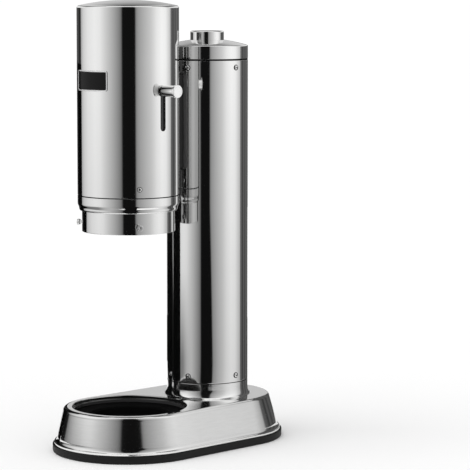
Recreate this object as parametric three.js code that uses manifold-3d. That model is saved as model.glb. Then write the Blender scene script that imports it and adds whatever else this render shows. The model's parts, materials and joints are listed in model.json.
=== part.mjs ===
// Sparkling water maker: a polished steel head over a stepped cup, carried by a gas column
//
// Millimetres, +Z up. The origin is the middle of the base on the surface it stands on.
// The front is -Y, the lever is on the +X side. Two vertical axes carry everything:
// the head axis at -Y and the column axis at +Y. Angles round an axis are counted from
// the front towards +X. The carbonation chamber, the lever slide and the button move
// straight down, and all three are drawn at the top of their travel.

import * as THREE from "three";
import { mergeVertices } from "three/addons/utils/BufferGeometryUtils.js";
import Module from "manifold-3d";

const wasm = await Module();
wasm.setup();

// Driving dimensions

const axisDistance = 112.8;
const clearance = 0.3;
const sheet = 1.2;

const footRadius = 79.4;
const footHeight = 8;
const skirtFlangeRadius = 77.9;
const skirtRadius = 74.5;
const skirtFrontTopRadius = 68.3;
const skirtBackTopRadius = 66.3;
const flareTop = 15.3;
const flareRise = 4.9;
const baseTop = 46;
const baseEdgeRadius = 4;
const baseWall = 1.6;

const cupHoleRadius = 59.2;
const cupRim = 42.5;
const cupLedge = 38.5;
const cupFloor = 30;

const columnRadius = 42.9;
const columnBottomSeam = 61.9;
const columnTopSeam = 401.1;
const seamWidth = 1;
const lidRim = 415.6;
const lidDomeRise = 6.6;

const buttonRadius = 17.6;
const buttonTop = 430.6;
const buttonTravel = 4;

const headRadius = 52;
const headSeam = 265.1;
const headRim = 455.5;
const headTop = 463.5;
const ringBottom = 249.5;

const shieldRadius = 47.6;
const shieldBottom = 227.9;
const chamberTravel = 185;

const leverHeight = 372.7;
const leverTravel = 36.5;
const leverTip = 73.4;
const slotWidth = 6.6;

const cylinderRadius = 30;
const cylinderBottom = 14;
const cylinderTop = 372;

// Segment counts of the round shapes

const largeSegments = 36;
const mediumSegments = 24;
const smallSegments = 8;
const screwSegments = 6;

// Finishes

const finish = (color, roughness, metalness) =>
  new THREE.MeshStandardMaterial({ color, roughness, metalness });
const mirrorSteel = finish(0xcfcfcd, 0.06, 1);
const plainSteel = finish(0xa9aaa9, 0.3, 1);
const blackSteel = finish(0x161617, 0.35, 1);
const blackPlastic = finish(0x141415, 0.4, 0);
const glossBlack = finish(0x0c0c0d, 0.15, 0);
const blackRubber = finish(0x18181a, 0.75, 0);
const brass = finish(0xb08d4a, 0.3, 1);
const castAluminium = finish(0xb4b6b8, 0.4, 1);
const paintedCylinder = finish(0x8f9396, 0.35, 0.6);
const clearHose = finish(0xd9d9d4, 0.5, 0);

// Shape helpers

const radians = THREE.MathUtils.degToRad;

/** Merge shared points and drop the flat triangles at a revolve's poles. */
function clean(geometry) {
  geometry.deleteAttribute("normal");
  geometry.deleteAttribute("uv");
  const merged = mergeVertices(geometry, 1e-4);
  const index = merged.index.array;
  const kept = [];
  for (let i = 0; i < index.length; i += 3) {
    const [a, b, c] = [index[i], index[i + 1], index[i + 2]];
    if (a !== b && b !== c && c !== a) {
      kept.push(a, b, c);
    }
  }
  merged.setIndex(kept);
  return merged;
}

/** Turn a closed geometry into a solid that can be cut and joined. */
function solid(geometry) {
  const merged = clean(geometry);
  return new wasm.Manifold(
    new wasm.Mesh({
      numProp: 3,
      vertProperties: new Float32Array(merged.attributes.position.array),
      triVerts: new Uint32Array(merged.index.array),
    }),
  );
}

const join = (...solids) => solids.reduce((sum, next) => sum.add(next));
const cut = (body, ...tools) => tools.reduce((left, tool) => left.subtract(tool), body);

/** Revolve a closed [radius, height] profile about Z; the outer wall runs upwards. */
function revolve(profile, segments = largeSegments) {
  const points = profile.map(([radius, height]) => new THREE.Vector2(radius, height));
  return new THREE.LatheGeometry(points, segments).rotateX(Math.PI / 2);
}

const disc = (radius, low, high, segments) =>
  revolve([[0, low], [radius, low], [radius, high], [0, high]], segments);

const ring = (inner, outer, low, high, segments) =>
  revolve([[inner, low], [outer, low], [outer, high], [inner, high], [inner, low]], segments);

/** Points of a round corner: an ellipse arc between two angles in degrees. */
function corner(radius, height, across, up, from, to, steps) {
  return Array.from({ length: steps + 1 }, (_, i) => {
    const angle = radians(from + ((to - from) * i) / steps);
    return [radius + across * Math.cos(angle), height + up * Math.sin(angle)];
  });
}

/** A block bent round the axis: part of a ring, centred on an angle in degrees. */
function arcBlock(inner, outer, low, high, centre, half) {
  const from = radians(centre - half - 90);
  const to = radians(centre + half - 90);
  const shape = new THREE.Shape();
  shape.absarc(0, 0, outer, from, to, false);
  shape.absarc(0, 0, inner, to, from, true);
  const block = new THREE.ExtrudeGeometry(shape, {
    depth: high - low,
    bevelEnabled: false,
    curveSegments: 3,
  });
  return block.translate(0, 0, low);
}

/** Lay a shape made along +Z out along the radius at an angle and a height. */
const outward = (geometry, angle, height) =>
  geometry.rotateX(Math.PI / 2).rotateZ(radians(angle)).translate(0, 0, height);

/** A rounded rectangle in the plane across the front, standing on the radius. */
function roundedPrism(halfWidth, low, high, radius, depth) {
  const shape = new THREE.Shape();
  shape.absarc(halfWidth - radius, high - radius, radius, 0, Math.PI / 2, false);
  shape.absarc(radius - halfWidth, high - radius, radius, Math.PI / 2, Math.PI, false);
  shape.absarc(radius - halfWidth, low + radius, radius, Math.PI, 1.5 * Math.PI, false);
  shape.absarc(halfWidth - radius, low + radius, radius, 1.5 * Math.PI, 2 * Math.PI, false);
  const prism = new THREE.ExtrudeGeometry(shape, { depth, bevelEnabled: false, curveSegments: 4 });
  return prism.rotateX(Math.PI / 2);
}

/** The base outline: the band round a front circle and a back circle. */
function baseOutline(front, back, height) {
  const half = axisDistance / 2;
  const turn = Math.asin((front - back) / axisDistance);
  const steps = 20;
  const points = [];
  for (let i = 0; i <= steps; i += 1) {
    const angle = Math.PI - turn + ((Math.PI + 2 * turn) * i) / steps;
    points.push([front * Math.cos(angle), front * Math.sin(angle) - half, height]);
  }
  for (let i = 0; i <= steps; i += 1) {
    const angle = turn + ((Math.PI - 2 * turn) * i) / steps;
    points.push([back * Math.cos(angle), back * Math.sin(angle) + half, height]);
  }
  return points;
}

/** Skin the base outline through [height, front radius, back radius] sections. */
function loft(sections) {
  const rings = sections.map(([height, front, back = front]) => baseOutline(front, back, height));
  const count = rings[0].length;
  const last = rings.length - 1;
  const positions = rings.flat(2);
  positions.push(0, 0, sections[0][0], 0, 0, sections[last][0]);
  const lowCentre = rings.length * count;
  const faces = [];
  for (let j = 0; j < count; j += 1) {
    const next = (j + 1) % count;
    for (let i = 0; i < last; i += 1) {
      const low = i * count;
      const high = low + count;
      faces.push(low + j, low + next, high + next, low + j, high + next, high + j);
    }
    faces.push(lowCentre, next, j);
    faces.push(lowCentre + 1, last * count + j, last * count + next);
  }
  const geometry = new THREE.BufferGeometry();
  geometry.setAttribute("position", new THREE.Float32BufferAttribute(positions, 3));
  geometry.setIndex(faces);
  return geometry;
}

/** A helix of a given radius that climbs from one height to another. */
class Helix extends THREE.Curve {
  constructor(radius, low, high, startAngle, endAngle) {
    super();
    Object.assign(this, { radius, low, high, startAngle, endAngle });
  }

  getPoint(t, target = new THREE.Vector3()) {
    const angle = this.startAngle + (this.endAngle - this.startAngle) * t;
    const height = this.low + (this.high - this.low) * t;
    return target.set(this.radius * Math.cos(angle), this.radius * Math.sin(angle), height);
  }
}

/** A round tube or wire of a few sides along a curve. */
function tube(curve, radius, sides, steps) {
  const section = new THREE.Shape(new THREE.EllipseCurve(0, 0, radius, radius).getPoints(sides));
  return new THREE.ExtrudeGeometry(section, { steps, extrudePath: curve, bevelEnabled: false });
}

/** A thin pipe in the YZ plane through [y, z] corners: straight runs with a ball at each bend. */
function bentPipe(corners, radius) {
  const points = corners.map(([y, z]) => new THREE.Vector3(0, y, z));
  const runs = points.slice(1).map((end, i) => {
    const length = end.distanceTo(points[i]);
    const run = new THREE.CylinderGeometry(radius, radius, length, smallSegments);
    run.rotateX(Math.atan2(end.z - points[i].z, end.y - points[i].y));
    const middle = end.clone().add(points[i]).multiplyScalar(0.5);
    return solid(run.translate(0, middle.y, middle.z));
  });
  const bends = points
    .slice(1, -1)
    .map((place) => solid(new THREE.IcosahedronGeometry(radius, 1).translate(0, place.y, place.z)));
  return join(...runs, ...bends);
}

// Scene tree

const machine = new THREE.Group();
const headGroup = new THREE.Group();
headGroup.position.y = -axisDistance / 2;
const columnGroup = new THREE.Group();
columnGroup.position.y = axisDistance / 2;
machine.add(headGroup, columnGroup);

/** Add one named piece, given as a solid or as a closed geometry. */
function add(group, name, shape, material) {
  let geometry;
  if (shape instanceof wasm.Manifold) {
    const mesh = shape.getMesh();
    geometry = new THREE.BufferGeometry();
    geometry.setAttribute("position", new THREE.BufferAttribute(mesh.vertProperties, 3));
    geometry.setIndex(new THREE.BufferAttribute(mesh.triVerts, 1));
  } else {
    geometry = clean(shape);
  }
  geometry.computeVertexNormals();
  const mesh = new THREE.Mesh(geometry, material);
  mesh.name = name;
  group.add(mesh);
}

/** Add a row of like pieces, each under its own numbered name. */
const addRow = (group, name, shapes, material) =>
  shapes.forEach((shape, i) => add(group, `${name}_${i + 1}`, shape, material));

// Fasteners that several pieces share

const screwHoleRadius = 2.1;
const screwShankRadius = 1.5;
const columnScrewAngles = [-17.5, 17.5, 90, 180, -90];
const headScrewAngles = [-60, 60, 180];
const columnScrewHeights = [69.3, 393.1];
const headScrewHeight = 274.3;

/** A round-headed screw along +Z: its shank, then a domed head with a blind socket. */
function roundHeadScrew(tipRadius, seatRadius, headHalf, headRise, shankRadius) {
  const socketFloor = seatRadius + headRise * 0.45;
  const profile = [
    [0, tipRadius],
    [shankRadius, tipRadius],
    [shankRadius, seatRadius],
    [headHalf, seatRadius],
    ...corner(0, seatRadius, headHalf, headRise, 35, 65, 1),
    [0, socketFloor],
  ];
  return revolve(profile, screwSegments);
}

const screwHoles = (angles, heights, inner, outer, radius = screwHoleRadius) =>
  heights.flatMap((height) =>
    angles.map((angle) => solid(outward(disc(radius, inner, outer, screwSegments), angle, height))),
  );

// Base: polished skirt with a collar for the column, on a rubber foot

const bossPlaces = [[56, 20], [36, 100], [44.6, -101]].flatMap(([x, y]) => [[x, y], [-x, y]]);
const bossRadius = 3;
const bossDepth = 14;
const platePlane = 3;
const plateThickness = 2.5;
const plateRadius = 71.6;
const collarBore = 38.5;
const collarFillet = 4;
const collarFootRadius = columnRadius + collarFillet;
const spigotRadius = columnRadius - sheet - 0.4;

/** The outside of the skirt: a foot flange, a concave flare, the taper and a round top edge. */
function skirtOutside() {
  const flareFoot = skirtFlangeRadius - 0.3;
  const flare = corner(flareFoot, flareTop, skirtRadius - flareFoot, -flareRise, 90, 0, 3);
  const edgeStart = baseTop - baseEdgeRadius;
  const edge = corner(-baseEdgeRadius, edgeStart, baseEdgeRadius, baseEdgeRadius, 0, 90, 3);
  return [
    [footHeight + clearance, skirtFlangeRadius],
    [flareTop - flareRise, skirtFlangeRadius],
    ...flare.map(([radius, height]) => [height, radius]),
    ...edge.map(([inward, height]) => [
      height,
      skirtFrontTopRadius + inward,
      skirtBackTopRadius + inward,
    ]),
  ];
}

/** The inside of the skirt: straight at the foot, then the same taper up to the roof. */
function skirtInside() {
  return [
    [0, skirtRadius - baseWall],
    [flareTop, skirtRadius - baseWall],
    [baseTop - baseEdgeRadius, skirtFrontTopRadius - baseWall, skirtBackTopRadius - baseWall],
    [baseTop - baseWall, skirtFrontTopRadius - baseEdgeRadius, skirtBackTopRadius - baseEdgeRadius],
  ];
}

function makeBase() {
  const half = axisDistance / 2;
  const lipLow = baseTop - 4.5;
  const lipHigh = baseTop - 0.5;
  const outer = solid(loft(skirtOutside()));
  const inner = solid(loft(skirtInside()));
  const collarHole = solid(
    disc(collarFootRadius + clearance, 0, baseTop + 1).translate(0, half, 0),
  );
  const cupHole = solid(disc(cupHoleRadius, 0, baseTop + 1).translate(0, -half, 0));
  const lip = solid(
    ring(cupHoleRadius, cupHoleRadius + sheet, lipLow, lipHigh).translate(0, -half, 0),
  );
  const pegLow = platePlane + plateThickness + clearance;
  const pegs = bossPlaces.map(([x, y]) =>
    solid(disc(bossRadius, pegLow, baseTop - 1, smallSegments).translate(x, y, 0)),
  );
  const pegHoles = bossPlaces.map(([x, y]) =>
    solid(disc(screwHoleRadius, platePlane, bossDepth, screwSegments).translate(x, y, 0)),
  );
  const shell = join(cut(outer, inner), ...pegs);
  const opened = join(cut(shell, collarHole, cupHole), lip);
  add(machine, "base_shell", cut(opened, ...pegHoles), mirrorSteel);
}

/** The collar rises from the base in a round fillet; its flange sits under the base's roof. */
function makeCollar() {
  const roofUnderside = baseTop - baseWall;
  const flangeTop = roofUnderside - clearance;
  const flangeRadius = collarFootRadius + 4;
  const collarTop = columnBottomSeam - seamWidth / 2;
  const spigotTop = columnBottomSeam + 14;
  const profile = [
    [collarBore, flangeTop - 2],
    [flangeRadius, flangeTop - 2],
    [flangeRadius, flangeTop],
    [collarFootRadius, flangeTop],
    ...corner(collarFootRadius, baseTop + collarFillet, -collarFillet, -collarFillet, 90, 0, 3),
    [columnRadius, collarTop],
    [spigotRadius, collarTop],
    [spigotRadius, spigotTop],
    [collarBore, spigotTop],
    [collarBore, flangeTop - 2],
  ];
  const holes = screwHoles(columnScrewAngles, [columnScrewHeights[0]], collarBore - 3, columnRadius);
  add(columnGroup, "column_collar", cut(solid(revolve(profile)), ...holes), mirrorSteel);
}

function makeFoot() {
  const ledge = platePlane - clearance;
  const ledgeRadius = 67.5;
  const body = solid(
    loft([
      [0, footRadius - 1.4],
      [0.5, footRadius - 0.5],
      [1.6, footRadius],
      [footHeight - 0.6, footRadius],
      [footHeight, footRadius - 0.6],
    ]),
  );
  const well = solid(loft([[ledge, plateRadius + 0.4], [footHeight + 1, plateRadius + 0.4]]));
  const through = solid(loft([[-1, ledgeRadius], [footHeight, ledgeRadius]]));
  add(machine, "base_foot_ring", cut(body, well, through), blackRubber);
}

function makeBasePlate() {
  const half = axisDistance / 2;
  const top = platePlane + plateThickness;
  const hatchRadius = 34;
  const plate = solid(loft([[platePlane, plateRadius], [top, plateRadius]]));
  const hatch = solid(disc(hatchRadius, 0, top + 1, mediumSegments).translate(0, half, 0));
  const holes = bossPlaces.map(([x, y]) =>
    solid(disc(screwHoleRadius, 0, top + 1, screwSegments).translate(x, y, 0)),
  );
  add(machine, "base_plate", cut(plate, hatch, ...holes), blackPlastic);

  const headRise = 1.5;
  const screws = bossPlaces.map(([x, y]) =>
    roundHeadScrew(-13, clearance - platePlane, 2.7, headRise, screwShankRadius)
      .rotateX(Math.PI)
      .translate(x, y, 0),
  );
  addRow(machine, "base_plate_screw", screws, plainSteel);
}

// Cup: the stepped black insert in the round hole of the base

function makeCup() {
  const outerRadius = cupHoleRadius - clearance;
  const wall = 1.5;
  const seatRadius = 40;
  const bottom = platePlane + plateThickness + clearance;
  const underLedge = cupLedge - 2;
  const profile = [
    [0, cupFloor - 2],
    [seatRadius - wall, cupFloor - 2],
    [seatRadius - wall, underLedge],
    [outerRadius - wall, underLedge],
    [outerRadius - wall, bottom],
    [outerRadius, bottom],
    [outerRadius, cupRim - 0.6],
    [outerRadius - 0.6, cupRim],
    [outerRadius - wall, cupRim],
    [outerRadius - wall, cupLedge],
    [seatRadius + 1.5, cupLedge],
    [seatRadius, cupLedge - 1.5],
    [seatRadius - 1, cupFloor],
    [0, cupFloor],
  ];
  add(headGroup, "drip_cup", revolve(profile), blackPlastic);
}

// Column: a polished tube over the collar's spigot, closed by a domed lid

const pipeHeight = 366;
const pipeRadius = 1.1;
const pipeHoleRadius = 1.8;

function makeColumn() {
  const inner = columnRadius - sheet;
  const body = solid(
    ring(inner, columnRadius, columnBottomSeam + clearance, columnTopSeam - seamWidth / 2),
  );
  const screws = screwHoles(columnScrewAngles, columnScrewHeights, inner - 1, columnRadius + 1);
  const pipeHole = screwHoles([0], [pipeHeight], inner - 1, columnRadius + 1, pipeHoleRadius);
  add(columnGroup, "column_tube", cut(body, ...screws, ...pipeHole), mirrorSteel);

  const seat = columnRadius + clearance;
  const tip = collarBore + 0.6;
  const names = ["column_lower_screw", "column_upper_screw"];
  columnScrewHeights.forEach((height, row) => {
    const screws = columnScrewAngles.map((angle) =>
      outward(roundHeadScrew(tip, seat, 2.4, 1.3, screwShankRadius), angle, height),
    );
    addRow(columnGroup, names[row], screws, plainSteel);
  });
}

const lidSpigotBottom = 386;
const lidHoleRadius = buttonRadius + 0.5;

function makeLid() {
  const bore = collarBore + 0.8;
  const shoulder = columnTopSeam + seamWidth / 2;
  const roofThickness = 1.8;
  const domeHeight = (radius) => lidRim + lidDomeRise * (1 - (radius / columnRadius) ** 2);
  const domeRadii = [34, 26, lidHoleRadius];
  const dome = domeRadii.map((radius) => [radius, domeHeight(radius)]);
  const roof = [lidHoleRadius, 30].map((radius) => [radius, domeHeight(radius) - roofThickness]);
  const profile = [
    [bore, lidSpigotBottom],
    [spigotRadius, lidSpigotBottom],
    [spigotRadius, shoulder],
    [columnRadius, shoulder],
    ...corner(columnRadius - 1.2, lidRim - 1.1, 1.2, 1.3, 0, 80, 2),
    ...dome,
    ...roof,
    [bore, lidRim - roofThickness],
    [bore, lidSpigotBottom],
  ];
  const holes = screwHoles(columnScrewAngles, [columnScrewHeights[1]], bore - 3, columnRadius);
  add(columnGroup, "column_lid", cut(solid(revolve(profile)), ...holes), mirrorSteel);
}

// Gas side: cylinder, its valve, the block it screws into and the guide ring below

const blockTop = 400;
const pushRodRadius = 4;

function makeGasSide() {
  const neckRadius = 13;
  const neckTop = 346;
  const neckBore = 8;
  const wall = 3;
  const shoulderStart = neckTop - 30;
  const shoulderRise = 24;
  const innerRise = shoulderRise - 2;
  const innerAcross = cylinderRadius - neckRadius - wall;
  const cylinder = [
    [0, cylinderBottom + 3],
    ...corner(cylinderRadius - 5, cylinderBottom + 5, 5, 5, -90, 0, 2),
    ...corner(neckRadius + wall, shoulderStart, innerAcross, shoulderRise, 0, 90, 4),
    [neckRadius, neckTop - 4],
    [neckRadius, neckTop],
    [neckBore, neckTop],
    [neckBore, neckTop - 8],
    ...corner(neckRadius, shoulderStart - 2, innerAcross, innerRise, 90, 0, 2),
    [cylinderRadius - wall, cylinderBottom + 8],
    [0, cylinderBottom + 6],
  ];
  add(columnGroup, "gas_cylinder", revolve(cylinder, 20), paintedCylinder);

  const valveRadius = 10;
  const valveFlange = valveRadius + 1.5;
  const flangeTop = neckTop + 5;
  const pinRadius = 2;
  const valve = [
    [0, neckTop - 6],
    [neckBore - clearance, neckTop - 6],
    [neckBore - clearance, neckTop + clearance],
    [valveFlange, neckTop + clearance],
    [valveFlange, flangeTop],
    [valveRadius, flangeTop],
    [valveRadius, cylinderTop - 0.8],
    [valveRadius - 0.8, cylinderTop],
    [pinRadius, cylinderTop],
    [pinRadius, cylinderTop + 4],
    [0, cylinderTop + 4],
  ];
  add(columnGroup, "cylinder_valve", revolve(valve, 16), brass);

  const socketRadius = valveRadius + clearance;
  const boreRadius = pushRodRadius + 1;
  const blockBottom = flangeTop + 1;
  const blockRadius = 20;
  const crownRadius = 24;
  const seatTop = lidSpigotBottom - clearance;
  const block = [
    [socketRadius, blockBottom],
    [blockRadius, blockBottom],
    [blockRadius, seatTop - 6],
    [spigotRadius, seatTop - 6],
    [spigotRadius, seatTop],
    [crownRadius, seatTop],
    [crownRadius, blockTop],
    [boreRadius, blockTop],
    [boreRadius, cylinderTop + 1],
    [socketRadius, cylinderTop + 1],
    [socketRadius, blockBottom],
  ];
  const outlet = screwHoles([0], [pipeHeight], blockRadius - 4, crownRadius, pipeHoleRadius);
  const body = solid(revolve(block, mediumSegments));
  add(columnGroup, "valve_block", cut(body, ...outlet), castAluminium);

  const guideLow = baseTop + 2;
  const guideInner = cylinderRadius + 0.8;
  const guide = ring(guideInner, collarBore - clearance, guideLow, guideLow + 14, mediumSegments);
  add(columnGroup, "cylinder_guide_ring", guide, blackPlastic);
}

// Button: a sprung cap whose rod presses the cylinder's valve pin

function makeButton() {
  const wall = 1.5;
  const roof = buttonTop - 1.8;
  const skirtBottom = 417;
  const cap = [
    [buttonRadius - wall, skirtBottom],
    [buttonRadius + 1.9, skirtBottom],
    [buttonRadius + 1.9, skirtBottom + 1.6],
    [buttonRadius, skirtBottom + 1.6],
    ...corner(buttonRadius - 1.5, buttonTop - 1.5, 1.5, 1.5, 0, 90, 4),
    [0, buttonTop],
    [0, roof],
    [buttonRadius - wall, roof],
    [buttonRadius - wall, skirtBottom],
  ];
  add(columnGroup, "button_cap", revolve(cap, 28), mirrorSteel);

  const rodTop = roof - clearance;
  const rodBottom = cylinderTop + 4 + buttonTravel + 0.5;
  add(columnGroup, "button_rod", disc(pushRodRadius, rodBottom, rodTop, 24), plainSteel);

  const wire = 0.75;
  const turns = 5;
  const coil = new Helix(7, blockTop + wire + clearance, rodTop - wire, 0, turns * 2 * Math.PI);
  add(columnGroup, "button_spring", tube(coil, wire, 4, turns * 8), plainSteel);
}

// Neck: a black steel bar that ties the head to the column and hides the gas pipe

function makeNeck() {
  const half = axisDistance / 2;
  const width = 15;
  const low = 286;
  const high = 388;
  const radius = 4;
  const shape = roundedPrism(width / 2, low, high, radius, axisDistance);
  const block = solid(shape.translate(0, half, 0));
  const headSaddle = solid(disc(headRadius + clearance, low - 1, high + 1).translate(0, -half, 0));
  const columnSaddle = solid(
    disc(columnRadius + clearance, low - 1, high + 1).translate(0, half, 0),
  );
  const passage = solid(
    disc(pipeHoleRadius, 0, axisDistance, smallSegments)
      .rotateX(Math.PI / 2)
      .translate(0, half, pipeHeight),
  );
  add(machine, "neck_bracket", cut(block, headSaddle, columnSaddle, passage), blackSteel);
}

// Head: a drawn shell with the lever slot, and a ring with a beaded mouth screwed in below

const headInner = headRadius - sheet;
const headBottom = headSeam + seamWidth / 2;
const ringTop = headSeam - seamWidth / 2;
const pocketRadius = 49.7;
const tabInner = 48.4;
const stopLedge = 252.3;

function makeHeadShell() {
  const roof = headTop - 1.5;
  const innerRim = headRim - 1;
  const domeHeight = (radius, rim, top) => top - (top - rim) * (radius / headRadius) ** 2;
  const outerDome = [40, 20].map((radius) => [radius, domeHeight(radius, headRim + 2, headTop)]);
  const profile = [
    [0, roof],
    [30, domeHeight(30, innerRim + 1.6, roof)],
    [headInner, innerRim - 0.5],
    [headInner, headBottom],
    [headRadius, headBottom],
    ...corner(headRadius - 2, headRim, 2, 2.1, 0, 75, 3),
    ...outerDome,
    [0, headTop],
  ];
  const slotLow = leverHeight - leverTravel - slotWidth / 2 - 0.6;
  const slotHigh = leverHeight + slotWidth / 2 + 0.2;
  const slot = solid(
    roundedPrism(slotWidth / 2, slotLow, slotHigh, slotWidth / 2 - 0.01, headRadius + 4)
      .rotateZ(Math.PI / 2),
  );
  const holes = screwHoles(headScrewAngles, [headScrewHeight], headInner - 1, headRadius + 1);
  const pipeHole = screwHoles([180], [pipeHeight], headInner - 2, headRadius + 1, pipeHoleRadius);
  const body = solid(revolve(profile));
  add(headGroup, "head_shell", cut(body, slot, ...holes, ...pipeHole), mirrorSteel);
}

function makeLowerRing() {
  const bandOuter = headInner - clearance;
  const bandTop = 272;
  const tabTop = 281;
  const mouth = 48.2;
  const bead = [[mouth + 0.9, ringBottom], [mouth + 2, ringBottom + 1.5]];
  const cove = [mouth + 2.5, ringBottom + 4.1];
  const shoulder = [[headRadius - 0.4, ringBottom + 6.7], [headRadius, ringBottom + 8.1]];
  const profile = [
    [mouth, ringBottom],
    ...bead,
    cove,
    ...shoulder,
    [headRadius, ringTop],
    [bandOuter, ringTop],
    [bandOuter, bandTop],
    [pocketRadius, bandTop],
    [pocketRadius, stopLedge],
    [mouth, stopLedge],
    [mouth, ringBottom],
  ];
  const tabs = headScrewAngles.map((angle) =>
    solid(arcBlock(tabInner, bandOuter, ringTop, tabTop, angle, 7)),
  );
  const holes = screwHoles(headScrewAngles, [headScrewHeight], tabInner - 1, headInner);
  const body = join(solid(revolve(profile)), ...tabs);
  add(headGroup, "head_lower_ring", cut(body, ...holes), mirrorSteel);

  const screws = headScrewAngles.map((angle) =>
    outward(
      roundHeadScrew(tabInner + 0.3, headRadius + clearance, 2.1, 1, screwShankRadius),
      angle,
      headScrewHeight,
    ),
  );
  addRow(headGroup, "head_screw", screws, plainSteel);
}

function makeBadge() {
  const halfWidth = 22;
  const low = 372.3;
  const high = 393.1;
  const border = 1.1;
  const base = headRadius + clearance;
  const outline = solid(roundedPrism(halfWidth, low, high, 2.4, headRadius + 4));
  const opening = (inset) =>
    solid(roundedPrism(halfWidth - inset, low + inset, high - inset, 1.6, headRadius + 4));
  const frame = solid(ring(base, base + 0.8, low - 1, high + 1)).intersect(outline);
  add(headGroup, "badge_frame", cut(frame, opening(border)), mirrorSteel);
  const field = solid(ring(base, base + 0.45, low, high)).intersect(opening(border + clearance));
  add(headGroup, "badge_field", field, glossBlack);
}

// Chamber: the shield that slides down into the cup, with its cap, nozzle and shoes

const shieldInner = shieldRadius - sheet;
const shieldTop = 446;
const capThickness = 5;
const studHeight = 235.6;

function makeChamber() {
  const studHoleRadius = 2.1;
  const body = solid(
    revolve([
      [shieldInner, shieldBottom + 0.4],
      [shieldInner + 0.4, shieldBottom],
      [shieldRadius - 0.4, shieldBottom],
      [shieldRadius, shieldBottom + 0.4],
      [shieldRadius, shieldTop],
      [shieldInner, shieldTop],
      [shieldInner, shieldBottom + 0.4],
    ]),
  );
  const holes = screwHoles(
    headScrewAngles,
    [studHeight],
    shieldInner - 1,
    shieldRadius + 1,
    studHoleRadius,
  );
  add(headGroup, "shield_tube", cut(body, ...holes), mirrorSteel);

  const neckRadius = studHoleRadius - clearance;
  const headStart = shieldRadius + 4.8;
  const headEnd = headStart + 2.8;
  const stud = [
    [0, shieldInner + 0.1],
    [neckRadius, shieldInner + 0.1],
    [neckRadius, headStart],
    [2.6, headStart],
    [3, headStart + 0.5],
    [3, headEnd - 0.6],
    [2.4, headEnd],
    [0, headEnd],
  ];
  const studs = headScrewAngles.map((angle) =>
    outward(revolve(stud, smallSegments), angle, studHeight),
  );
  addRow(headGroup, "shield_stud", studs, plainSteel);

  const shoeBottom = stopLedge + clearance + chamberTravel;
  const shoes = [0, 120, 240].map((angle) =>
    arcBlock(shieldRadius + clearance, pocketRadius - clearance, shoeBottom, shieldTop, angle, 12),
  );
  addRow(headGroup, "guide_shoe", shoes, blackPlastic);
}

function makeNozzle() {
  const capBottom = shieldTop - capThickness;
  const hubRadius = 14;
  const hubBottom = 404;
  const tubeRadius = 2.6;
  const tubeBottom = 295;
  const portRadius = tubeRadius + clearance;
  const rim = shieldInner - clearance;
  const cap = [
    [0, capBottom],
    [rim, capBottom],
    [rim, shieldTop],
    [rim - 5, shieldTop],
    [rim - 6, shieldTop - 2],
    [0, shieldTop - 2],
  ];
  add(headGroup, "chamber_cap", revolve(cap, mediumSegments), castAluminium);

  const hub = [
    [portRadius, hubBottom],
    [hubRadius - 3, hubBottom],
    [hubRadius, hubBottom + 3],
    [hubRadius, capBottom - 6],
    [hubRadius + 6, capBottom - 3],
    [hubRadius + 6, capBottom - clearance],
    [0, capBottom - clearance],
    [0, hubBottom + 20],
    [portRadius, hubBottom + 20],
    [portRadius, hubBottom],
  ];
  add(headGroup, "nozzle_block", revolve(hub, mediumSegments), blackPlastic);

  const seal = [
    [portRadius, 400],
    [hubRadius - 2, 400],
    [hubRadius - 1, 401],
    [hubRadius - 3, hubBottom - clearance],
    [portRadius, hubBottom - clearance],
    [portRadius, 400],
  ];
  add(headGroup, "nozzle_seal", revolve(seal, mediumSegments), blackRubber);

  const bore = 1.4;
  const nozzle = [
    [bore, tubeBottom],
    [tubeRadius - 0.7, tubeBottom],
    [tubeRadius, tubeBottom + 2.5],
    [tubeRadius, hubBottom + 20 - clearance],
    [bore, hubBottom + 20 - clearance],
    [bore, tubeBottom],
  ];
  add(headGroup, "nozzle_tube", revolve(nozzle, smallSegments), plainSteel);

  const deck = shieldTop - 2 + clearance;
  const relief = [
    [0, deck],
    [4.5, deck],
    [4.5, deck + 3],
    [3.4, deck + 3.4],
    [3.4, deck + 7],
    [2.6, deck + 7.8],
    [0, deck + 7.8],
  ];
  add(headGroup, "relief_valve", revolve(relief, smallSegments).translate(-34, 0, 0), brass);
}

// Gas line: a thin pipe up the gap behind the shield, then a coil that follows the chamber

function makeGasLine() {
  const gapRadius = (headInner + shieldRadius) / 2;
  const coilRadius = 24;
  const coilTop = 457.4;
  const fittingHalf = 3.5;
  const route = [
    [axisDistance - 19.5, pipeHeight],
    [gapRadius, pipeHeight],
    [gapRadius, 449.5],
    [coilRadius + fittingHalf + clearance, coilTop],
  ];
  add(headGroup, "gas_pipe", bentPipe(route, pipeRadius), plainSteel);

  const fitting = new THREE.BoxGeometry(2 * fittingHalf, 2 * fittingHalf, 4.4)
    .translate(0, coilRadius, coilTop);
  add(headGroup, "hose_fitting", fitting, brass);

  const hoseRadius = 1.7;
  const stepAside = (fittingHalf + clearance) / coilRadius;
  const turns = 2.5;
  const endAngle = Math.PI / 2 - stepAside;
  const coilBottom = shieldTop - 2 + clearance + hoseRadius;
  const coil = new Helix(coilRadius, coilBottom, coilTop, endAngle - turns * 2 * Math.PI, endAngle);
  add(headGroup, "gas_hose", tube(coil, hoseRadius, 5, turns * 12), clearHose);
}

// Lever: a steel knob on a black slide that runs between two rails behind the slot

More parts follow.
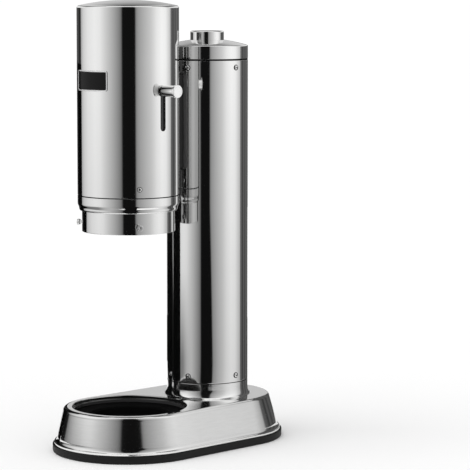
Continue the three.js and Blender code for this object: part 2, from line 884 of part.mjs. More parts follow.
function makeLever() {
  const slideInner = 48.3;
  const slideOuter = 50.1;
  const stemRadius = 2.8;
  const boreEnd = 62;
  const slideLow = leverHeight - 45;
  const slideHigh = leverHeight + 40;
  const plate = solid(arcBlock(slideInner, slideOuter, slideLow, slideHigh, 90, 8));
  const stem = solid(
    outward(disc(stemRadius, slideInner + 0.6, boreEnd - clearance, 24), 90, leverHeight),
  );
  add(headGroup, "lever_slide", join(plate, stem), blackPlastic);

  const bore = stemRadius + clearance;
  const knob = [
    [bore, 53],
    [4.7, 53],
    [4.7, 54.3],
    [5.4, 54.3],
    [5.8, 54.7],
    [5.8, 70.7],
    [6.3, 70.9],
    [6.6, 71.3],
    [6.6, leverTip - 0.7],
    [6, leverTip],
    [0, leverTip],
    [0, boreEnd],
    [bore, boreEnd],
    [bore, 53],
  ];
  add(headGroup, "lever_knob", outward(revolve(knob, 20), 90, leverHeight), mirrorSteel);

  const railLow = slideLow - leverTravel - 3;
  const railHigh = slideHigh + 11;
  const rails = [90 - 10.8, 90 + 10.8].map((angle) =>
    arcBlock(slideInner, headInner - clearance, railLow, railHigh, angle, 1.9),
  );
  addRow(headGroup, "lever_rail", rails, blackPlastic);
}

makeBase();
makeCollar();
makeFoot();
makeBasePlate();
makeCup();
makeColumn();
makeLid();
makeGasSide();
makeButton();
makeNeck();
makeHeadShell();
makeLowerRing();
makeBadge();
makeChamber();
makeNozzle();
makeGasLine();
makeLever();

export default machine;
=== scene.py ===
# %% [markdown]
# # A sparkling water maker in mirror-polished steel
#
# The machine is a round head over a stepped cup, carried by a gas column on a stadium-shaped
# base. Almost every surface is polished steel, so what the eye reads is not a colour but the
# studio that the steel mirrors. The lesson therefore has two halves: true, fine surfaces,
# and a studio of bright panels and dark flags around them.
#
# The solids come from the packed frame. Each round solid is faceted, and a mirror shows
# every facet, so the visible pieces are worked out again here as smooth surfaces of the
# same size, and the solids inside keep their meshes and get finishes.

# %% Load the frame and keep its size
import json

import bmesh
import bpy
import numpy as np
from mathutils import Matrix, Vector


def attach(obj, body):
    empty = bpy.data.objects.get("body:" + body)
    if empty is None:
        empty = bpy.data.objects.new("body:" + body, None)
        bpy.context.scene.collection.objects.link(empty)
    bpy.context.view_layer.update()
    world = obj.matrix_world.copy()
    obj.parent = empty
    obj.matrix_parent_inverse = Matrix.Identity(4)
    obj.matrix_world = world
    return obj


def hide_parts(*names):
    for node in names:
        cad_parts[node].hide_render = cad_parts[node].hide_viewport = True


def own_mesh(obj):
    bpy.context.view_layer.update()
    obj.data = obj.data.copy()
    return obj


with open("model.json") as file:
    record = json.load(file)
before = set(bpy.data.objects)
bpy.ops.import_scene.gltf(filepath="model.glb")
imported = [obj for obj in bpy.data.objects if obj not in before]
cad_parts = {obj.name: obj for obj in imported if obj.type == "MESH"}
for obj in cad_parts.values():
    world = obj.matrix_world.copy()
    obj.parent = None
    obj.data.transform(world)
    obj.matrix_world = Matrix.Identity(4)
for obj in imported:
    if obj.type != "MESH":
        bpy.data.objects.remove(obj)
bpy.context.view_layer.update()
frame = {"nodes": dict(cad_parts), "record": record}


# %% [markdown]
# ## The camera
#
# The photograph was taken from the front right, a little above the head, with a long lens.
# Its place comes from a fit of the machine's circles and edges to the picture. A camera
# looks along its own -Z with +Y up, so the three columns of its turn are right, up and back.

# %% Camera
camera_place = Vector((1.7356, -1.6462, 0.4790))
pitch, roll = 0.1083, 0.0009
focal_length_px, picture_width_px = 2305.04, 470
ahead = Vector((-0.7053, 0.7089, 0.0)).normalized()
forward = ahead * np.cos(pitch) - Vector((0, 0, 1)) * np.sin(pitch)
level_right = forward.cross(Vector((0, 0, 1))).normalized()
level_up = level_right.cross(forward)
right = level_right * np.cos(roll) + level_up * np.sin(roll)
up = level_up * np.cos(roll) - level_right * np.sin(roll)

camera_data = bpy.data.cameras.new("camera")
camera_data.sensor_width = 36.0
camera_data.lens = camera_data.sensor_width * focal_length_px / picture_width_px
camera_data.clip_end = 400
camera = bpy.data.objects.new("camera", camera_data)
camera.matrix_world = Matrix.Translation(camera_place) @ Matrix((right, up, -forward)).transposed().to_4x4()
bpy.context.scene.collection.objects.link(camera)
bpy.context.scene.camera = camera
print("lens", round(camera_data.lens, 1), "mm, pitched down", round(np.degrees(pitch), 1), "degrees")

# %% [markdown]
# ## Surfaces from formulas
#
# Nearly every piece is a profile carried round an upright axis. The profile is a list of
# (radius, height) pairs in millimetres, as a turner would draw it, and `around` carries
# it. `bend` draws a rounded edge and `line` a straight run. A Screw modifier could turn
# profiles too, but it can't join a round opening to the base's outline, and with formulas
# all the pieces are made in one way.

# %% Profiles and revolves
HEAD = (0.0, -56.4)
COLUMN = (0.0, 56.4)
AXIS_DISTANCE = COLUMN[1] - HEAD[1]
HEAD_RADIUS, COLUMN_RADIUS, SHIELD_RADIUS = 52.0, 42.9, 47.6
SEAT = 0.3  # screws, badge and neck start this far outside a wall
FINE = 0.12  # the broken edge of a steel sheet


def bend(radius, height, across, rise, start, end, steps=8):
    """A rounded edge: (radius + across·cos a, height + rise·sin a) for a from start to end."""
    a = np.radians(np.linspace(start, end, steps + 1))
    return np.column_stack([radius + across * np.cos(a), height + rise * np.sin(a)])


def fine_foot(radius, height):
    """The broken lower edge of a sheet: from its underside out to its wall."""
    return bend(radius - FINE, height + FINE, FINE, FINE, -90, 0, 3)


def fine_rim(radius, height):
    """The broken upper edge of a sheet: from its wall in to its rim."""
    return bend(radius - FINE, height - FINE, FINE, FINE, 0, 90, 3)


def line(*pairs):
    """A straight run of a profile through its (radius, height) pairs."""
    return np.array(pairs, float)


def turns(steps):
    """Equal angles once round, in radians, with the first one repeated at the end."""
    return np.linspace(0, 2 * np.pi, steps + 1)


def around(profile, axis, angles):
    """Carry a profile round an upright axis.

    Point (i, k) is (ax + r·sin φ, ay − r·cos φ, z) for the profile's (r, z) number i and
    the angle φ number k, counted from the front towards +X.
    """
    r, z = np.vstack(profile).T
    x = axis[0] + np.outer(r, np.sin(angles))
    y = axis[1] - np.outer(r, np.cos(angles))
    return np.stack([x, y, np.repeat(z[:, None], len(angles), 1)], 2)


def held(profile, gap=0.3):
    """A profile with a support point near each end of every straight run over four gaps long.

    Smooth shading takes the mean of the faces at a point, so without these points a small
    rounded edge would bend the mirror image of the whole wall next to it.
    """
    points = np.vstack(profile)
    run = np.diff(points, axis=0)
    length = np.linalg.norm(run, axis=1)
    rows = [points[:1]]
    for start, step, size in zip(points, run, length):
        inner = [gap / size, 1 - gap / size] if size > 4 * gap else []
        rows.append(start + np.array([*inner, 1])[:, None] * step)
    return np.vstack(rows)


def turned(profile, axis, steps=240):
    """A profile, with its support points, carried once round an axis."""
    return around([held(profile)], axis, turns(steps))


print("head, column and shield", 2 * HEAD_RADIUS, 2 * COLUMN_RADIUS, 2 * SHIELD_RADIUS, "mm wide")

# %% [markdown]
# `skin` sews one or more grids of points into one closed mesh, points its faces outwards
# and shades it smooth, with creases only at real edges. It also hangs the piece on the empty
# of the body that it rides on, and hides the solids that it stands for.

# %% Skins


def faces_of(grids):
    """Number the corners of every grid's squares, grid after grid."""
    quads, first = [], 0
    for grid in grids:
        rows, columns = grid.shape[:2]
        n = first + np.arange(rows * columns).reshape(rows, columns)
        quads.append(np.stack([n[:-1, :-1], n[:-1, 1:], n[1:, 1:], n[1:, :-1]], 2).reshape(-1, 4))
        first += rows * columns
    return np.vstack(quads)


def skin(name, grids, finish, body, slot, *nodes, crease=35):
    """Sew grids of points, in millimetres, into one smooth closed piece that stands for CAD nodes.

    Points closer than a thousandth of a millimetre become one, so a closed turn, a pole and
    the border that two grids share are all joined. A square that a pole squeezes loses its
    repeated corner.
    """
    points = np.vstack([grid.reshape(-1, 3) for grid in grids])
    _, first, same = np.unique(np.round(points, 3) + 0.0, axis=0, return_index=True, return_inverse=True)
    quads = same.reshape(-1)[faces_of(grids)]
    repeated = quads == np.roll(quads, -1, axis=1)
    whole = quads[~repeated.any(1)]
    squeezed = quads[repeated.sum(1) == 1]
    corners = squeezed[~repeated[repeated.sum(1) == 1]].reshape(-1, 3)
    mesh = bpy.data.meshes.new(name)
    mesh.from_pydata(points[first] / 1000, [], whole.tolist() + corners.tolist())
    shell = bmesh.new()
    shell.from_mesh(mesh)
    bmesh.ops.recalc_face_normals(shell, faces=shell.faces)
    open_edges = sum(not edge.is_manifold for edge in shell.edges)
    shell.to_mesh(mesh)
    shell.free()
    mesh.polygons.foreach_set("use_smooth", np.ones(len(mesh.polygons), bool))
    mesh.set_sharp_from_angle(angle=np.radians(crease))
    mesh.materials.append(finish)
    piece = bpy.data.objects.new(name, mesh)
    bpy.context.scene.collection.objects.link(piece)
    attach(piece, body)
    if nodes:
        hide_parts(*nodes)
    print(f"{name}: {len(mesh.polygons)} faces, {open_edges} open edges")
    return piece


print("two rows of five points make", len(faces_of([np.zeros((2, 5, 3))])), "squares")

# %% [markdown]
# ## Shader sums as expressions
#
# A finish that varies over a surface needs sums on numbers that only the shader knows. A
# Wire holds one socket. Adding, subtracting or multiplying wires adds the Math nodes that
# do it, and its `math` adds any other one. Colours go through Mix nodes instead, because a
# Math node turns them grey.

# %% Wires


class Wire:
    """One output of a shader node, which can stand in an expression."""

    def __init__(self, finish, socket):
        self.finish = finish
        self.socket = socket

    def math(self, operation, *others):
        """The Math node of that name on this wire and up to two more wires or numbers."""
        inputs = {0: self, **{i + 1: other for i, other in enumerate(others)}}
        return self.finish.node("ShaderNodeMath", {"operation": operation}, inputs)

    def clipped(self):
        """This value, but never below 0 or above 1."""
        return self.math("MAXIMUM", 0).math("MINIMUM", 1)

    def __add__(self, other):
        return self.math("ADD", other)

    def __sub__(self, other):
        return self.math("SUBTRACT", other)

    def __mul__(self, other):
        return self.math("MULTIPLY", other)

    def __rsub__(self, other):
        return self * -1 + other

    __radd__ = __add__
    __rmul__ = __mul__


print("a wire takes +, - and *, and any other Math node by its name")

# %% [markdown]
# A finish is a shader being wired: a material's, or the world's. Its helpers place the nodes
# that come back in every finish, so that each one reads as a few lines of sums. The shader
# editor could hold the same nodes, but a script keeps their values in one place.

# %% Finishes


class Finish:
    """A shader being wired: a material's, or the world's."""

    def __init__(self, owner):
        owner.use_nodes = True
        self.owner = owner
        self.tree = owner.node_tree
        self.tree.nodes.clear()

    def node(self, kind, settings=None, inputs=None, output=0):
        """Add a node: its settings first, then the values or wires of its sockets."""
        node = self.tree.nodes.new(kind)
        for key, value in (settings or {}).items():
            if key == "stops":
                ramp = node.color_ramp
                while len(ramp.elements) < len(value):
                    ramp.elements.new(0.5)
                for element, (place, shade) in zip(ramp.elements, value):
                    element.position = place
                    element.color = (shade, shade, shade, 1)
            else:
                setattr(node, key, value)
        for key, value in (inputs or {}).items():
            if isinstance(value, Wire):
                self.tree.links.new(value.socket, node.inputs[key])
            else:
                node.inputs[key].default_value = value
        return Wire(self, node.outputs[output]) if len(node.outputs) else node

    def place(self):
        """The point on the piece, in metres in the machine's own frame."""
        return self.node("ShaderNodeTexCoord", output="Object")

    def part(self, axis, vector=None):
        """The X, Y or Z of the place, or of another vector."""
        inputs = {"Vector": vector or self.place()}
        return self.node("ShaderNodeSeparateXYZ", inputs=inputs, output=axis)

    def noise(self, scale, detail=2.0, roughness=0.5, stretch=(1, 1, 1)):
        """Seeded cloudy noise between 0 and 1; stretch squeezes it along an axis."""
        where = self.node("ShaderNodeMapping", inputs={"Vector": self.place(), "Scale": stretch})
        inputs = {"Vector": where, "Scale": scale, "Detail": detail, "Roughness": roughness}
        return self.node("ShaderNodeTexNoise", inputs=inputs)

    def blend(self, factor, low, high):
        """A colour between two colours; a grey is given as one number."""
        low, high = np.broadcast_to(low, 3), np.broadcast_to(high, 3)
        inputs = {0: factor, 6: (*low, 1), 7: (*high, 1)}
        return self.node("ShaderNodeMix", {"data_type": "RGBA"}, inputs, output=2)

    def bump(self, height, depth, strength=1.0):
        """A normal from a height that is between 0 and 1 and depth metres deep."""
        inputs = {"Height": height, "Distance": depth, "Strength": strength}
        return self.node("ShaderNodeBump", inputs=inputs)

    def surface(self, **sockets):
        """End in a Principled BSDF. A name's underscores stand for the socket's spaces."""
        inputs = {key.replace("_", " "): value for key, value in sockets.items()}
        shader = self.node("ShaderNodeBsdfPrincipled", inputs=inputs)
        self.node("ShaderNodeOutputMaterial", inputs={"Surface": shader})
        return self.owner


def new_finish(name):
    """A finish for a new, still empty material."""
    return Finish(bpy.data.materials.new(name))


print("a finish can make:", *[name for name in vars(Finish) if not name.startswith("_")])

# %% [markdown]
# ## Polished steel
#
# The real skin is stainless sheet, ground and then buffed to a mirror. Three things keep it
# from being a perfect mirror: a faint haze of buffing that changes over a hand's width,
# hair-fine marks along the sheet, and a very slight waviness, which bends the reflections
# of straight edges. Each is a noise of its own scale on the machine's coordinates. The side
# of the head towards the column is known only from its image in the column, which is much
# darker than the head, so the steel's colour is darkened there: painted shade between the
# head and the column.

# %% Polished steel
steel = new_finish("polished_steel")
haze = steel.noise(14, 3)
hairlines = steel.noise(900, 2, 0.6, stretch=(1, 1, 0.04))
waves = steel.noise(9, 1)
along_machine = steel.part("Y")
# painted shade: the colour darkens from 22 mm in front of the machine's middle, fully 10 mm on, and nowhere
# on the column
painted_shade_near_column = ((along_machine + 0.022) * 100).clipped() * along_machine.math("LESS_THAN", 0.005)
haze_and_painted_shade = (0.87 + haze * 0.13) * (1 - painted_shade_near_column * 0.85)
polished_steel = steel.surface(
    Base_Color=steel.blend(haze_and_painted_shade, 0.40, (0.93, 0.93, 0.925)),
    Metallic=1.0,
    Roughness=0.035 + haze * 0.035 + hairlines * 0.02,
    Normal=steel.bump(waves, 0.00008, 0.5),
)
print("polished steel nodes", len(steel.tree.nodes))

# %% [markdown]
# The base is polished less far than the tubes: fine level strokes still show in it, and it
# gives back a little less light. It is brighter at its front and on the collar only to match
# the photograph: that is painted light, the studio's doing and not the steel's. The strokes
# are the same kind of noise, drawn out along the surface instead of up it.

# %% Brushed steel of the base
brushed = new_finish("brushed_steel")
patches = brushed.noise(18, 3)
strokes = brushed.noise(60, 4, 0.65, stretch=(1, 1, 14))
# painted light: the base's colour is lighter towards its front and on the collar
painted_light_front = (-0.3 - brushed.part("Y") * 12).clipped()
painted_light_collar = brushed.part("Z").math("GREATER_THAN", 0.0462)  # just above the flat top
tone_and_painted_light = patches * 0.25 + strokes * 0.35 + painted_light_front * 0.4 + painted_light_collar * 0.5
brushed_steel = brushed.surface(
    Base_Color=brushed.blend(tone_and_painted_light, (0.68, 0.68, 0.675), (0.98, 0.98, 0.975)),
    Metallic=1.0,
    Roughness=0.05 + patches * 0.04 + strokes * 0.06,
    Normal=brushed.bump(strokes, 0.00002, 0.5),
)
print("brushed steel nodes", len(brushed.tree.nodes))

# %% [markdown]
# ## The other finishes
#
# Turned screws, brass fittings, black oxide, spark-eroded mouldings, rubber, castings and
# lacquer differ in colour, in gloss and in how coarse their grain is, and all of them drift
# a little from place to place. `grainy` covers them all: a noise shifts the colour and the
# roughness, and a finer one lifts the surface a few hundredths of a millimetre at most.

# %% Grainy finishes for everything that isn't a mirror


def grainy(name, low, high, rough, grain, depth, **constants):
    """A finish whose colour and roughness drift between two values, over a fine grain."""
    finish = new_finish(name)
    drift = finish.noise(35, 3)
    fine = finish.noise(grain, 3, 0.6)
    return finish.surface(
        Base_Color=finish.blend(drift, low, high),
        Roughness=rough[0] + drift * (rough[1] - rough[0]) + fine * 0.05,
        Normal=finish.bump(fine, depth, 0.6),
        **constants,
    )


turned_steel = grainy("turned_steel", 0.55, (0.68, 0.68, 0.67), (0.12, 0.2), 1500, 1e-5, Metallic=1.0)
satin_steel = grainy("satin_steel", 0.92, 0.98, (0.3, 0.4), 1500, 1e-5, Metallic=1.0)
black_oxide = grainy("black_oxide", 0.008, 0.016, (0.3, 0.45), 1200, 1e-5, Specular_IOR_Level=0.3)
black_moulding = grainy("black_moulding", 0.003, 0.006, (0.08, 0.14), 2200, 4e-6, Specular_IOR_Level=0.5)
joint_black = grainy("joint_black", 0.001, 0.003, (0.8, 0.9), 900, 1e-5, Specular_IOR_Level=0.1)
black_enamel = grainy("black_enamel", 0.003, 0.006, (0.12, 0.2), 1200, 4e-6, Specular_IOR_Level=0.12)
black_rubber = grainy("black_rubber", 0.004, 0.009, (0.5, 0.65), 2600, 4e-5, Specular_IOR_Level=0.25)
turned_brass = grainy(
    "turned_brass", (0.62, 0.46, 0.22), (0.74, 0.58, 0.30), (0.22, 0.34), 1500, 1e-5, Metallic=1.0
)
cast_aluminium = grainy(
    "cast_aluminium", (0.60, 0.61, 0.62), (0.74, 0.75, 0.76), (0.34, 0.48), 1300, 5e-5, Metallic=1.0
)
lacquered_steel = grainy(
    "lacquered_steel", (0.50, 0.52, 0.54), (0.58, 0.59, 0.61), (0.25, 0.4), 900, 1e-5, Metallic=0.6
)
pale_nylon = grainy("pale_nylon", (0.78, 0.78, 0.74), (0.88, 0.88, 0.85), (0.35, 0.5), 1500, 1e-5)

finishes = {
    "mirror_steel": polished_steel,
    "plain_steel": turned_steel,
    "black_steel": black_oxide,
    "black_plastic": black_moulding,
    "gloss_black": black_enamel,
    "black_rubber": black_rubber,
    "brass": turned_brass,
    "cast_aluminium": cast_aluminium,
    "painted_cylinder": lacquered_steel,
    "clear_hose": pale_nylon,
}
for part in frame["record"]["subparts"]:
    for material_slot in frame["nodes"][part["node"]].material_slots:
        material_slot.material = finishes[part["material_slot"]]

# %% [markdown]
# ## The base
#
# The base is one pressing: a band round a front circle and a back circle, joined by
# straight sides. Seen from above every height is such an outline, with its own two radii.
# A point on it is found from the direction in which the edge faces there, so the arcs and
# the straight sides meet without a kink. The skirt is the stack of these outlines; the top
# is spread between the outline and the two round openings, from a line across the middle.

# %% Outlines of the base
PARTING = 0.548  # where the top's front and back plates meet, as a share of the axis distance


def half_outline(front, back, end, arc_steps=112, side_steps=16):
    """Half of the base's outline: half a side, the arc at one end, half the other side.

    The arc is centre + radius·(cos a, sin a), for the facings a that this end has; a side
    is the straight run to the parting line, which both round openings stay clear of.
    """
    turn = np.arcsin((front - back) / AXIS_DISTANCE)
    radius, centre = (front, HEAD[1]) if end == "front" else (back, COLUMN[1])
    start, stop = (np.pi - turn, 2 * np.pi + turn) if end == "front" else (turn, np.pi - turn)
    a = np.linspace(start, stop, arc_steps + 1)
    arc = np.column_stack([radius * np.cos(a), centre + radius * np.sin(a)])
    between = front + PARTING * (back - front)
    middle_x = between * np.cos(turn)
    middle_y = HEAD[1] + AXIS_DISTANCE * PARTING + between * np.sin(turn)
    t = np.linspace(0, 1, side_steps + 1)[:, None]
    first_middle = np.array([-middle_x if end == "front" else middle_x, middle_y])
    last_middle = first_middle * (-1, 1)
    lead = first_middle + t[:-1] * (arc[0] - first_middle)
    tail = arc[-1] + t[1:] * (last_middle - arc[-1])
    return np.vstack([lead, arc, tail])


def outline(front, back):
    """The whole outline, closed: the front half, then the back half."""
    return np.vstack([half_outline(front, back, "front"), half_outline(front, back, "back")[1:]])


def stack(sections):
    """Skin outlines on top of each other: row i is section i's outline at its height."""
    rows = [np.insert(outline(front, back), 2, height, axis=1) for height, front, back in sections]
    return np.stack(rows)


def flat_ring(front, back, end, height, axis, radius, steps=12, angles=None):
    """The flat plate between half the outline, closed by the parting line, and a circle.

    Point (i, k) lies i/steps of the way from the circle's point at angle k to border
    point k. The angles are those of the border points, or the ones that another plate
    has, so that a wall between the two fits both.
    """
    half = half_outline(front, back, end)
    across = half[-1] + np.linspace(0, 1, 65)[1:, None] * (half[0] - half[-1])
    border = np.vstack([half, across])
    if angles is None:
        angles = np.arctan2(border[:, 0] - axis[0], axis[1] - border[:, 1])
    on_circle = np.array(axis) + radius * np.column_stack([np.sin(angles), -np.cos(angles)])
    t = np.linspace(0, 1, steps + 1)[:, None, None]
    flat = on_circle + t * (border - on_circle)
    return np.dstack([flat, np.full(flat.shape[:2], height)]), angles


print("an outline of the base has", len(outline(70, 68)), "points")

# %% [markdown]
# From its inside edge the skirt's stack runs down the inside, round the foot, over the
# flare, up the taper and round the top edge. The taper is long and straight, so it gets a
# support outline near each end, as the turned walls do.

# %% The skirt's sections
top_height, roof_height, shoulder_height, waist_height = 46, 44.4, 42.0, 15.3
front_shoulder, back_shoulder, edge_round, waist, foot_radius, inside = 68.3, 66.3, 4, 74.5, 77.9, 72.9
roof_front, roof_back = 62.7, 60.7

skirt = [(roof_height, roof_front, roof_back), (shoulder_height, 66.7, 64.7)]
skirt += [(waist_height, inside, inside), (8.3, inside, inside), (8.3, 77.6, 77.6)]
skirt += [(height, foot_radius, foot_radius) for height in (8.6, 8.9, 10.1)]
flare = bend(77.6, waist_height, -3.1, -4.9, 90, 0, 10)
skirt += [(height, radius, radius) for radius, height in flare]
taper = np.linspace((waist_height, waist, waist), (shoulder_height, front_shoulder, back_shoulder), 90)
skirt += [tuple(taper[1]), tuple(taper[-2])]
edge = bend(-edge_round, shoulder_height, edge_round, edge_round, 0, 90, 10)
skirt += [(height, front_shoulder + inward, back_shoulder + inward) for inward, height in edge]
print("the skirt has", len(skirt), "sections")

# %% [markdown]
# The collar is pressed up out of the same sheet round the column, and the lip is turned
# down into the cup's opening. All of it is one sheet on the real base, so here it is one
# closed piece: the flat top outside, a flat roof under it, and the lip's and the collar's
# walls between the two. Separate pieces would show a seam in the mirror image.

# %% Lip, collar, top and roof, sewn to the skirt
lip_radius, lip_inside, lip_outside, lip_round, lip_foot = 59.9, 59.2, 60.4, 0.7, 41.5
fillet_out, fillet_up, collar_top = 4, 9, 61.4
spigot_bore, spigot_radius, spigot_top = 38.5, 41.3, 75.9

lip_profile = [
    bend(lip_radius, top_height - lip_round, -lip_round, lip_round, 90, 0, 5),
    line((lip_inside, lip_foot), (lip_outside, lip_foot), (lip_outside, roof_height)),
]
fillet_foot = COLUMN_RADIUS + fillet_out
collar_profile = [
    bend(fillet_foot, top_height + fillet_up, -fillet_out, -fillet_up, 90, 0, 16),
    fine_rim(COLUMN_RADIUS, collar_top),
    line((spigot_radius, collar_top), (spigot_radius, spigot_top)),
    line((spigot_bore, spigot_top), (spigot_bore, roof_height)),
]
front_edge, back_edge = front_shoulder - edge_round, back_shoulder - edge_round
front_top, front_angles = flat_ring(front_edge, back_edge, "front", top_height, HEAD, lip_radius)
back_top, back_angles = flat_ring(front_edge, back_edge, "back", top_height, COLUMN, fillet_foot)
front_roof, _ = flat_ring(roof_front, roof_back, "front", roof_height, HEAD, lip_outside, 2, front_angles)
back_roof, _ = flat_ring(roof_front, roof_back, "back", roof_height, COLUMN, spigot_bore, 2, back_angles)
skin(
    "base_steel",
    [
        stack(skirt), front_top, back_top, front_roof, back_roof,
        around([held(lip_profile)], HEAD, front_angles),
        around([held(collar_profile)], COLUMN, back_angles),
    ],
    brushed_steel, "body", "mirror_steel", "base_shell", "column_collar",
)

# %% [markdown]
# The base stands on a rubber ring that shows as a black line under the flare. It is the
# same outline again, with a soft edge above and below and a ledge inside for the plate.

# %% Rubber foot
foot = [(2.7, 67.5), (0.0, 67.5)]
foot += [(height, radius) for radius, height in bend(77.79, 1.6, 1.6, 1.6, -90, 0, 8)]
foot += [(height, radius) for radius, height in bend(78.79, 7.4, 0.6, 0.6, 0, 90, 6)]
foot += [(8.0, 72.0), (2.7, 72.0), (2.7, 67.5)]
skin(
    "foot_rubber", [stack([(height, radius, radius) for height, radius in foot])],
    black_rubber, "body", "black_rubber", "base_foot_ring",
)

# %% [markdown]
# ## The cup
#
# A black moulding hangs in the round opening: a wall, a ledge on which the shield comes
# down, and a deeper round seat in the middle. It is a plain revolve with rounded edges. The
# wall is glossy; the ledge and the seat get a near-black, rough colour that gives back
# almost no light, which is painted shade deep in the cup. One Mix Shader changes between
# the two just above the ledge.

# %% Cup
cup_black = new_finish("cup_black")
cup_grain = cup_black.noise(1500, 3, 0.6)
# painted shade: the ledge and the seat get a near-black, almost unreflecting colour deep in the cup
painted_shade_colour = cup_black.blend(cup_black.noise(35, 3), 0.002, 0.005)
wall_colour = cup_black.blend(cup_black.noise(35, 3), 0.03, 0.05)
cup_wall = cup_black.node(
    "ShaderNodeBsdfPrincipled", inputs={"Base Color": wall_colour, "Roughness": 0.12 + cup_grain * 0.12}
)
painted_shade_seat = cup_black.node(
    "ShaderNodeBsdfPrincipled",
    inputs={"Base Color": painted_shade_colour, "Roughness": 0.7 + cup_grain * 0.2, "Specular IOR Level": 0.04},
)
above_painted_shade = cup_black.part("Z").math("GREATER_THAN", 0.0393)
mixed = cup_black.node("ShaderNodeMixShader", inputs={0: above_painted_shade, 1: painted_shade_seat, 2: cup_wall})
cup_black.node("ShaderNodeOutputMaterial", inputs={"Surface": mixed})

cup_profile = [
    line((0, 28), (38.5, 28), (38.5, 36.5), (57.4, 36.5), (57.4, 5.8), (58.9, 5.8)),
    bend(58.3, 41.9, 0.6, 0.6, 0, 90, 4),
    bend(57.8, 42.1, 0.4, 0.4, 90, 180, 3),
    bend(56.6, 39.3, 0.8, 0.8, 0, -90, 4),
    bend(42.0, 36.5, -2.0, 2.0, 90, 0, 8),
    bend(37.5, 32.5, 2.3, 2.5, 0, -90, 6),
    line((24, 30), (12, 30), (0, 30)),
]
cup_grid = turned(cup_profile, HEAD, 192)
skin("cup_moulding", [cup_grid], cup_black.owner, "body", "black_plastic", "drip_cup")

# %% [markdown]
# ## The column, its lid and the button
#
# The tube sits on the collar's spigot and the lid sits on the tube, with a joint of 0.8 mm
# below and one of 1.7 mm above. In the real machine a joint reads as a fine black line,
# because it is deep and no light comes back out of it. A mirror would throw light out again,
# so a black band deep in each joint gives that line from all sides.

# %% Column, lid and button
wall = 1.2
column_foot, column_top, lid_foot, lid_shoulder = 62.2, 400.24, 401.96, 414.7
column_bore = COLUMN_RADIUS - wall
column_profile = [
    line((column_bore, column_foot)),
    fine_foot(COLUMN_RADIUS, column_foot),
    fine_rim(COLUMN_RADIUS, column_top),
    line((column_bore, column_top), (column_bore, column_foot)),
]
column_grid = turned(column_profile, COLUMN)
skin("column_steel", [column_grid], polished_steel, "body", "mirror_steel", "column_tube")

dome_radii = np.linspace(column_bore, 18.4, 16)
dome = np.column_stack([dome_radii, 415.6 + 6.6 * (1 - (dome_radii / COLUMN_RADIUS) ** 2)])
lid_profile = [
    line((39.3, 386), (spigot_radius, 386), (spigot_radius, lid_foot)),
    fine_foot(COLUMN_RADIUS, lid_foot),
    bend(column_bore, lid_shoulder, wall, 1.25, 0, 78, 8),
    dome,
    bend(18.4, 420.6, -0.3, 0.3, 90, 180, 3),
    line((18.1, 419.0), (30, 416.8), (39.3, 413.8), (39.3, 386)),
]
lid_grid = turned(lid_profile, COLUMN)
skin("lid_steel", [lid_grid], polished_steel, "body", "mirror_steel", "column_lid")

button_radius, button_bore, button_round = 17.6, 16.1, 1.5
button_top, button_roof, button_foot = 430.6, 428.8, 417
button_profile = [
    line((button_bore, button_foot), (19.5, button_foot), (19.5, 418.6), (button_radius, 418.6)),
    bend(button_radius - button_round, button_top - button_round, button_round, button_round, 0, 90, 8),
    line((8, button_top), (0, button_top)),
    line((0, button_roof), (button_bore, button_roof), (button_bore, button_foot)),
]
button_grid = turned(button_profile, COLUMN, 160)
skin("button_steel", [button_grid], polished_steel, "button", "mirror_steel", "button_cap")


def joint_band(name, axis, inner, outer, low, high, clear=0.02):
    """A black ring deep in a joint: a rectangle carried round the axis, clear of the steel."""
    inner, low, high = inner + clear, low + clear, high - clear
    profile = [line((inner, low), (outer, low), (outer, high), (inner, high), (inner, low))]
    skin(name, [around(profile, axis, turns(160))], joint_black, "body", "black_rubber")


joint_band("collar_joint", COLUMN, spigot_radius, 42.7, collar_top, column_foot)
joint_band("lid_joint", COLUMN, spigot_radius, 42.7, column_top, lid_foot)

# %% [markdown]
# The button stands on a coil spring of hard wire. A spring can't ride on one body: its foot
# stays on the valve block while its head goes down with the button. So it is wound again
# here as a fine tube.

# %% Spring under the button
spring_foot, spring_head, spring_radius, wire_radius, button_travel = 400.3, 428.5, 7, 0.75, 4.0


def wound(axis, radius, low, high, coils, wire, steps=32, sides=10):
    """A wire of one radius wound up an upright axis at another; low and high are its middle's.

    Its middle line is (ax + r·cos a, ay + r·sin a, low + rise·a). Round it runs a circle of
    the wire's radius, spanned by the direction away from the axis and the one square to it
    and to the wire. The first and the last row are points of the middle line and close the ends.
    """
    a = np.linspace(0, 2 * np.pi * coils, steps * coils + 1)[:, None]
    rise = (high - low) / a[-1, 0]
    slope = np.hypot(radius, rise)
    middle = np.hstack([axis[0] + radius * np.cos(a), axis[1] + radius * np.sin(a), low + rise * a])
    outwards = np.hstack([np.cos(a), np.sin(a), 0 * a])
    square = np.hstack([rise * np.sin(a), -rise * np.cos(a), radius + 0 * a]) / slope
    b = turns(sides)[None, :, None]
    tube = middle[:, None] + wire * (np.cos(b) * outwards[:, None] + np.sin(b) * square[:, None])
    ends = np.repeat(middle[[0, -1], None], sides + 1, axis=1)
    return np.concatenate([ends[:1], tube, ends[1:]])


spring_coil = wound(
    COLUMN, spring_radius, spring_foot + wire_radius, spring_head - wire_radius, 5, wire_radius
)
spring = skin("spring_wire", [spring_coil], turned_steel, "body", "plain_steel", "button_spring", crease=60)
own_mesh(spring)

# %% [markdown]
# ## The head
#
# The head is drawn steel with a slot for the lever on its side. A slot in a revolved wall
# is awkward: a boolean leaves long thin faces, and they show as kinks in a mirror. So the
# wall leaves a window of whole squares round the slot, and that window is spread between
# its own border and the slot's outline, as the base's top was.

# %% Head shell with its slot
slot_low, slot_high, slot_half = 332.3, 376.2, 3.3
window_angles = np.radians(np.linspace(78, 102, 25))
rest_angles = np.radians(np.linspace(102, 438, 169))
all_angles = np.concatenate([rest_angles, window_angles[1:] + 2 * np.pi])
window_low, window_high = 324.0, 385.0


def straight(radius, low, high, steps):
    """An upright run of the wall in equal steps."""
    return np.column_stack([np.full(steps + 1, radius), np.linspace(low, high, steps + 1)])


